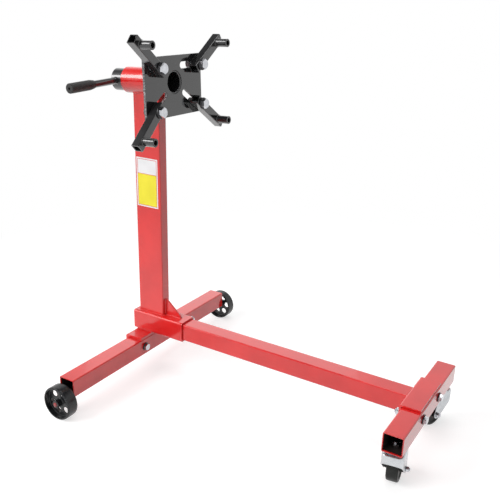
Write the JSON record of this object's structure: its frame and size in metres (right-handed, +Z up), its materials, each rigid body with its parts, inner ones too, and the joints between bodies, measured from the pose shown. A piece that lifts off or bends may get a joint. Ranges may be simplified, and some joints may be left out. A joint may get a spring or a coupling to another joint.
{
  "type": "engine stand",
  "caption": "Wheeled T-shaped stand of square tube with a post and a turning slotted plate whose adjustable arms hold an engine by its bell housing bolts.",
  "frame": {"origin": "on the floor, under the middle of the stand's box", "axes": "+X along the leg towards the casters, +Y to the left side seen from behind the post, +Z up"},
  "size_m": [0.9638, 0.7936, 0.9713],
  "materials": {
    "red_paint": "gloss red paint on steel",
    "black_paint": "gloss black paint on steel",
    "zinc": "bright zinc plating",
    "cast_wheel": "dark satin",
    "caster_tread": "black, satin",
    "grip_rubber": "black, matte"
  },
  "bodies": {
    "stand": {"rear_cross_tube": "red_paint", "rear_bracket": "red_paint", "rear_bracket_bolt_right": "zinc", "rear_bracket_bolt_left": "zinc", "rear_bracket_nut_right": "zinc", "rear_bracket_nut_left": "zinc", "base_sleeve": "red_paint", "main_leg": "red_paint", "leg_lock_boss": "red_paint", "leg_lock_bolt": "zinc", "front_bracket": "red_paint", "front_cross_tube": "red_paint", "front_bracket_bolt_right": "zinc", "front_bracket_bolt_left": "zinc", "front_bracket_nut_right": "zinc", "front_bracket_nut_left": "zinc", "post": "red_paint", "post_gusset": "red_paint", "head_collar": "red_paint", "head_lock_boss": "red_paint", "rear_axle_right": "red_paint", "rear_axle_left": "red_paint", "axle_cap_right": "zinc", "axle_cap_left": "zinc", "caster_stem_right": "zinc", "caster_stem_left": "zinc", "caster_stem_nut_right": "zinc", "caster_stem_nut_left": "zinc"},
    "head": {"head_plate": "black_paint", "rotating_tube": "black_paint"},
    "head_lock": {"head_lock_bolt": "zinc"},
    "handle": {"handle_bar": "black_paint", "handle_grip": "grip_rubber"},
    "seat_upper_right": {"arm_bolt_upper_right": "zinc", "arm_nut_upper_right": "zinc"},
    "seat_upper_left": {"arm_bolt_upper_left": "zinc", "arm_nut_upper_left": "zinc"},
    "seat_lower_right": {"arm_bolt_lower_right": "zinc", "arm_nut_lower_right": "zinc"},
    "seat_lower_left": {"arm_bolt_lower_left": "zinc", "arm_nut_lower_left": "zinc"},
    "swing_upper_right": {"arm_upper_right": "black_paint", "arm_spacer_upper_right": "black_paint"},
    "swing_upper_left": {"arm_upper_left": "black_paint", "arm_spacer_upper_left": "black_paint"},
    "swing_lower_right": {"arm_lower_right": "black_paint", "arm_spacer_lower_right": "black_paint"},
    "swing_lower_left": {"arm_lower_left": "black_paint", "arm_spacer_lower_left": "black_paint"},
    "wheel_right": {"rear_wheel_right": "cast_wheel"},
    "wheel_left": {"rear_wheel_left": "cast_wheel"},
    "fork_right": {"caster_fork_right": "zinc", "caster_axle_right": "zinc", "caster_axle_nut_right": "zinc"},
    "fork_left": {"caster_fork_left": "zinc", "caster_axle_left": "zinc", "caster_axle_nut_left": "zinc"},
    "roller_right": {"caster_wheel_right": "caster_tread"},
    "roller_left": {"caster_wheel_left": "caster_tread"}
  },
  "joints": [
    {"name": "head_rotation", "type": "hinge", "parent": "stand", "child": "head", "pos_m": [-0.28824, 0, 0.84713], "axis": [0.9997, 0, 0.0249], "continuous": true},
    {"name": "head_lock_release", "type": "slide", "parent": "stand", "child": "head_lock", "axis": [0, 1, 0], "range_m": [0, 0.008]},
    {"name": "handle_slide", "type": "slide", "parent": "head", "child": "handle", "axis": [-0.0009, 0.9994, 0.0349], "range_m": [-0.01, 0.08]},
    {"name": "arm_slide_upper_right", "type": "slide", "parent": "head", "child": "seat_upper_right", "axis": [0, -1, 0], "range_m": [-0.0477, 0.0133]},
    {"name": "arm_slide_upper_left", "type": "slide", "parent": "head", "child": "seat_upper_left", "axis": [0, 1, 0], "range_m": [-0.0543, 0.0067]},
    {"name": "arm_slide_lower_right", "type": "slide", "parent": "head", "child": "seat_lower_right", "axis": [0.014, -0.8273, -0.5615], "range_m": [-0.0628, 0.003]},
    {"name": "arm_slide_lower_left", "type": "slide", "parent": "head", "child": "seat_lower_left", "axis": [0.014, 0.8273, -0.5615], "range_m": [-0.0581, 0.0077]},
    {"name": "arm_swing_upper_right", "type": "hinge", "parent": "seat_upper_right", "child": "swing_upper_right", "pos_m": [-0.28926, -0.0822, 0.88812], "axis": [0.9997, 0, 0.0249], "range_deg": [-40, 49]},
    {"name": "arm_swing_upper_left", "type": "hinge", "parent": "seat_upper_left", "child": "swing_upper_left", "pos_m": [-0.28926, 0.0888, 0.88812], "axis": [0.9997, 0, 0.0249], "range_deg": [-44, 46]},
    {"name": "arm_swing_lower_right", "type": "hinge", "parent": "seat_lower_right", "child": "swing_lower_right", "pos_m": [-0.28661, -0.09302, 0.78183], "axis": [0.9997, 0, 0.0249], "range_deg": [-53, 36]},
    {"name": "arm_swing_lower_left", "type": "hinge", "parent": "seat_lower_left", "child": "swing_lower_left", "pos_m": [-0.28667, 0.08913, 0.78447], "axis": [0.9997, 0, 0.0249], "range_deg": [-45, 44]},
    {"name": "rear_wheel_right_spin", "type": "hinge", "parent": "stand", "child": "wheel_right", "pos_m": [-0.39828, -0.3755, 0.04657], "axis": [0, 1, 0], "continuous": true},
    {"name": "rear_wheel_left_spin", "type": "hinge", "parent": "stand", "child": "wheel_left", "pos_m": [-0.39828, 0.3755, 0.04657], "axis": [0, 1, 0], "continuous": true},
    {"name": "caster_swivel_right", "type": "hinge", "parent": "stand", "child": "fork_right", "pos_m": [0.44345, -0.163, 0.10587], "axis": [0.01, 0, 1], "continuous": true},
    {"name": "caster_swivel_left", "type": "hinge", "parent": "stand", "child": "fork_left", "pos_m": [0.44345, 0.163, 0.10587], "axis": [0.01, 0, 1], "continuous": true},
    {"name": "caster_wheel_right_spin", "type": "hinge", "parent": "fork_right", "child": "roller_right", "pos_m": [0.43886, -0.13527, 0.03611], "axis": [-0.9902, -0.1392, 0.0099], "continuous": true},
    {"name": "caster_wheel_left_spin", "type": "hinge", "parent": "fork_left", "child": "roller_left", "pos_m": [0.43227, 0.13704, 0.03618], "axis": [0.9271, -0.3746, -0.0093], "continuous": true}
  ]
}
